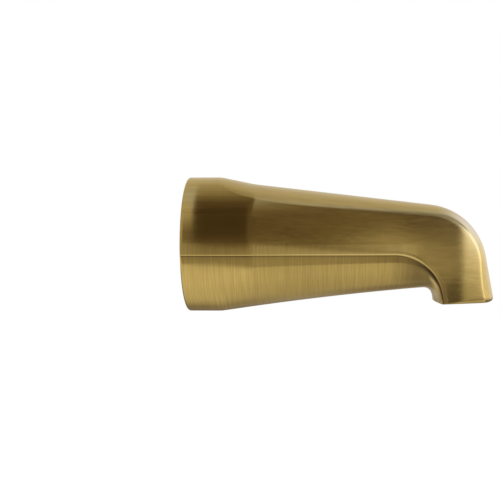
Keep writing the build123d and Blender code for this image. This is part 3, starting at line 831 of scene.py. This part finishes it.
pale_links.new(pale_sum.outputs[0], pale_pick.inputs[1])
pale_links.new(pale_clear.outputs[0], pale_pick.inputs[2])
pale_links.new(pale_pick.outputs[0], pale_output.inputs["Surface"])
floor.data.materials.append(pale)

# Light tent
# A dome of white cloth that lights the spout, bright behind and to the sides. In front it is open
# to a dim room, with a lit counter to the right of the middle. A window stands further right.
# Angles are degrees, round from the front to the right and up from level.
TENT_RADIUS = 1.3

tent_az, tent_el = np.meshgrid(np.radians(np.linspace(-180, 180, 361)),
                               np.radians(np.linspace(-40, 90, 131)))
tent_points = TENT_RADIUS * np.stack([
    np.sin(tent_az) * np.cos(tent_el), -np.cos(tent_az) * np.cos(tent_el), np.sin(tent_el)], axis=-1)
az, el = np.degrees(tent_az), np.degrees(tent_el)
front_glow = np.interp(el, [-40, -34, -29, 45, 54, 62, 70, 80, 90],
                       [0.95, 0.78, 0.21, 0.21, 0.28, 0.36, 0.5, 0.74, 0.75])
room_dark = np.interp(az, [10, 18, 22, 25, 27], [0.19, 0.24, 0.32, 0.16, 0.05])
counter_lit = np.interp(az, [14, 20, 22, 25], [0.6, 0.85, 0.85, 0.75])
counter_top = np.interp(az, [11, 14, 17, 18.5, 20, 22, 24, 26], [1, 0, -1, 3, 13, 20, 16, 13])
counter_foot = np.interp(az, [20, 20.8, 22], [-60, -2, 6])
counter = ease(counter_top - el, -4, 4) * ease(el - counter_foot, -3, 3)
right_glow = np.interp(el, [-40, -14, -6, -2, 2, 10, 14, 17, 20, 26, 45, 58, 66, 75, 90],
                       [0.9, 0.35, 0.45, 0.75, 1.08, 1.2, 2.0, 2.8, 2.4, 0.5, 0.4, 0.38, 0.48, 0.72, 0.75])
left_glow = np.interp(el, [-40, -30, -14, 0, 50, 75, 90], [0.9, 0.55, 0.55, 0.62, 0.8, 0.85, 0.75])
back_glow = np.interp(el, [-40, 0, 16, 32, 52, 66, 78, 90], [1, 1, 0.97, 0.92, 0.82, 0.75, 0.75, 0.75])
glow = blend(front_glow, blend(room_dark, counter_lit, counter), ease(el, -34, -29) * ease(-el, -50, -42))
glow = blend(glow, right_glow, ease(az, 28.2, 29.8))
glow = blend(glow, left_glow, ease(-az, 11, 16))
glow = blend(glow, back_glow, ease(np.abs(az), 95, 140))
window_top = np.interp(az, [38, 50], [24, 35])
window = ease(az, 36, 44) * ease(-az, -160, -145) * ease(el, -6, 6) * ease(window_top - el, -7, 5)
glow = blend(glow, np.interp(az, [44, 70, 110], [2.1, 1.9, 1.45]), window)
daylight = np.maximum(ease(el, 58, 78), 1.5 * ease(az, 28, 32) * ease(el, 6, 20) * ease(-az, -160, -145))
tent = open_patch("light_tent", tent_points + [MID_LENGTH, 0, 0])
tent.visible_camera = False


def cloth_glow(patch, values, name, cool=0.0):
    """Material that glows by a colour kept on each point of the patch: white where it is
    bright, warmer the dimmer it is, as the room beyond is, and cooler by a share of daylight."""
    value = values.reshape(-1, 1)
    colour = value * (1 - np.exp(-value / [0.2, 0.25, 0.38, 1]) * [0, 0.42, 0.72, 0])
    colour = colour * (1 + (cool + 0 * values).reshape(-1, 1) * [0, 0.1, 0.6, 0])
    store = patch.data.attributes.new("glow", "FLOAT_COLOR", "POINT")
    store.data.foreach_set("color", colour.astype(np.float32).ravel())
    material = bpy.data.materials.new(name)
    material.use_nodes = True
    nodes, links = material.node_tree.nodes, material.node_tree.links
    nodes.clear()
    read = nodes.new("ShaderNodeAttribute")
    read.attribute_name = "glow"
    emit = nodes.new("ShaderNodeEmission")
    output = nodes.new("ShaderNodeOutputMaterial")
    links.new(read.outputs["Color"], emit.inputs["Color"])
    links.new(emit.outputs[0], output.inputs["Surface"])
    patch.data.materials.append(material)


cloth_glow(tent, glow, "tent_cloth", daylight)

# Grey card
# A level card under the spout that only its metal sees. The underside reflects it: bright near
# the front, darker further back, and uneven along the spout.
GREY_CARD_LEVEL = -0.075
GREY_CARD_LEFT, GREY_CARD_RIGHT = -0.25, 0.4
GREY_CARD_FRONT, GREY_CARD_BACK = -0.125, 0.9

under_x, under_y = np.meshgrid(np.linspace(GREY_CARD_LEFT, GREY_CARD_RIGHT, 14),
                               np.linspace(GREY_CARD_FRONT, GREY_CARD_BACK, 104))
under_points = np.stack([under_x, under_y, 0 * under_x + GREY_CARD_LEVEL], axis=-1)
under_glow = np.interp(under_y, [-0.15, -0.05, 0, 0.05, 0.12, 0.9], [0.84, 0.88, 0.74, 0.56, 0.38, 0.28])
near_wall = ease(-under_x, -0.05, 0.02) * np.interp(under_y, [0, 0.035], [0.3, -0.45])
below_nose = -0.4 * ease(under_x, 0.07, 0.11) * ease(under_y, 0.02, 0.05)
behind_nose = 0.5 * ease(under_x, 0.055, 0.075) * ease(under_y, 0.09, 0.16)


def seen_by_metal_only(patch):
    """Keep a card out of the picture, out of the light on the floor and out of its shadows."""
    patch.visible_camera = False
    patch.visible_diffuse = False
    patch.visible_shadow = False


under_card = open_patch("grey_card", under_points)
seen_by_metal_only(under_card)
cloth_glow(under_card, under_glow * (1 + near_wall + below_nose + behind_nose), "grey_card_face")

# Dark card
# A card curved about the spout's axis, close in front of the wall end, that only the metal sees.
# It darkens what the wall end's side reflects, and is paler towards the floor and the top.
CARD_RADIUS = 0.0685
CARD_LEFT, CARD_RIGHT = -0.0012, 0.031
CARD_EDGE_START = 0.021
CARD_EDGE_GLOW = 0.21

card_x, card_el = np.meshgrid(np.linspace(CARD_LEFT, CARD_RIGHT, 34),
                              np.radians(np.linspace(-40, 100, 141)))
card_points = np.stack([card_x, -CARD_RADIUS * np.cos(card_el), CARD_RADIUS * np.sin(card_el)], axis=-1)
card = open_patch("dark_card", card_points)
seen_by_metal_only(card)
card_glow = np.interp(np.degrees(card_el), [-40, -32, -28, -24, -14, -5, 0, 6, 12, 45, 55, 62, 73, 83, 100],
                      [1.05, 0.95, 0.7, 0.5, 0.48, 0.36, 0.2, 0.12, 0.1, 0.1, 0.13, 0.18, 0.38, 0.56, 0.58])
card_edge = ease(card_x, CARD_EDGE_START, CARD_RIGHT)
card_glow = blend(card_glow, np.maximum(card_glow, CARD_EDGE_GLOW), card_edge)
cloth_glow(card, card_glow, "dark_card_face")

# World and camera
# White ground for the camera and for reflections, a softer white for the light on the table,
# and a short telephoto camera level with the spout, turned a little from square to its side.
GROUND_LIGHT = 0.6

world = bpy.data.worlds.new("white_ground")
world.use_nodes = True
bpy.context.scene.world = world
world_nodes, world_links = world.node_tree.nodes, world.node_tree.links
light_path = world_nodes.new("ShaderNodeLightPath")
seen = world_nodes.new("ShaderNodeMath")
seen.operation = "MAXIMUM"
seen_through = world_nodes.new("ShaderNodeMath")
seen_through.operation = "MAXIMUM"
strength = world_nodes.new("ShaderNodeMapRange")
strength.inputs["To Min"].default_value = GROUND_LIGHT
strength.inputs["To Max"].default_value = 1.0
world_links.new(light_path.outputs["Is Camera Ray"], seen.inputs[0])
world_links.new(light_path.outputs["Is Glossy Ray"], seen.inputs[1])
world_links.new(seen.outputs[0], seen_through.inputs[0])
world_links.new(light_path.outputs["Is Transmission Ray"], seen_through.inputs[1])
world_links.new(seen_through.outputs[0], strength.inputs["Value"])
world_links.new(strength.outputs[0], world_nodes["Background"].inputs["Strength"])
world_nodes["Background"].inputs["Color"].default_value = (1, 1, 1, 1)

CAMERA_PLACE = (0.0580, -0.386, 0.0)
CAMERA_YAW = np.radians(2.4)
FOCAL_PIXELS = 907.3
FRAME_PIXELS = 500.0

camera_data = bpy.data.cameras.new("camera")
camera_data.sensor_width = 36.0
camera_data.lens = FOCAL_PIXELS / FRAME_PIXELS * camera_data.sensor_width
camera_data.shift_x = -0.075
camera_data.shift_y = -0.01135
camera_data.clip_start = 0.01
camera = bpy.data.objects.new("camera", camera_data)
camera.location = CAMERA_PLACE
camera.rotation_euler = (np.pi / 2, 0, CAMERA_YAW)
bpy.context.scene.collection.objects.link(camera)
bpy.context.scene.camera = camera

bpy.context.scene.view_settings.view_transform = "Standard"
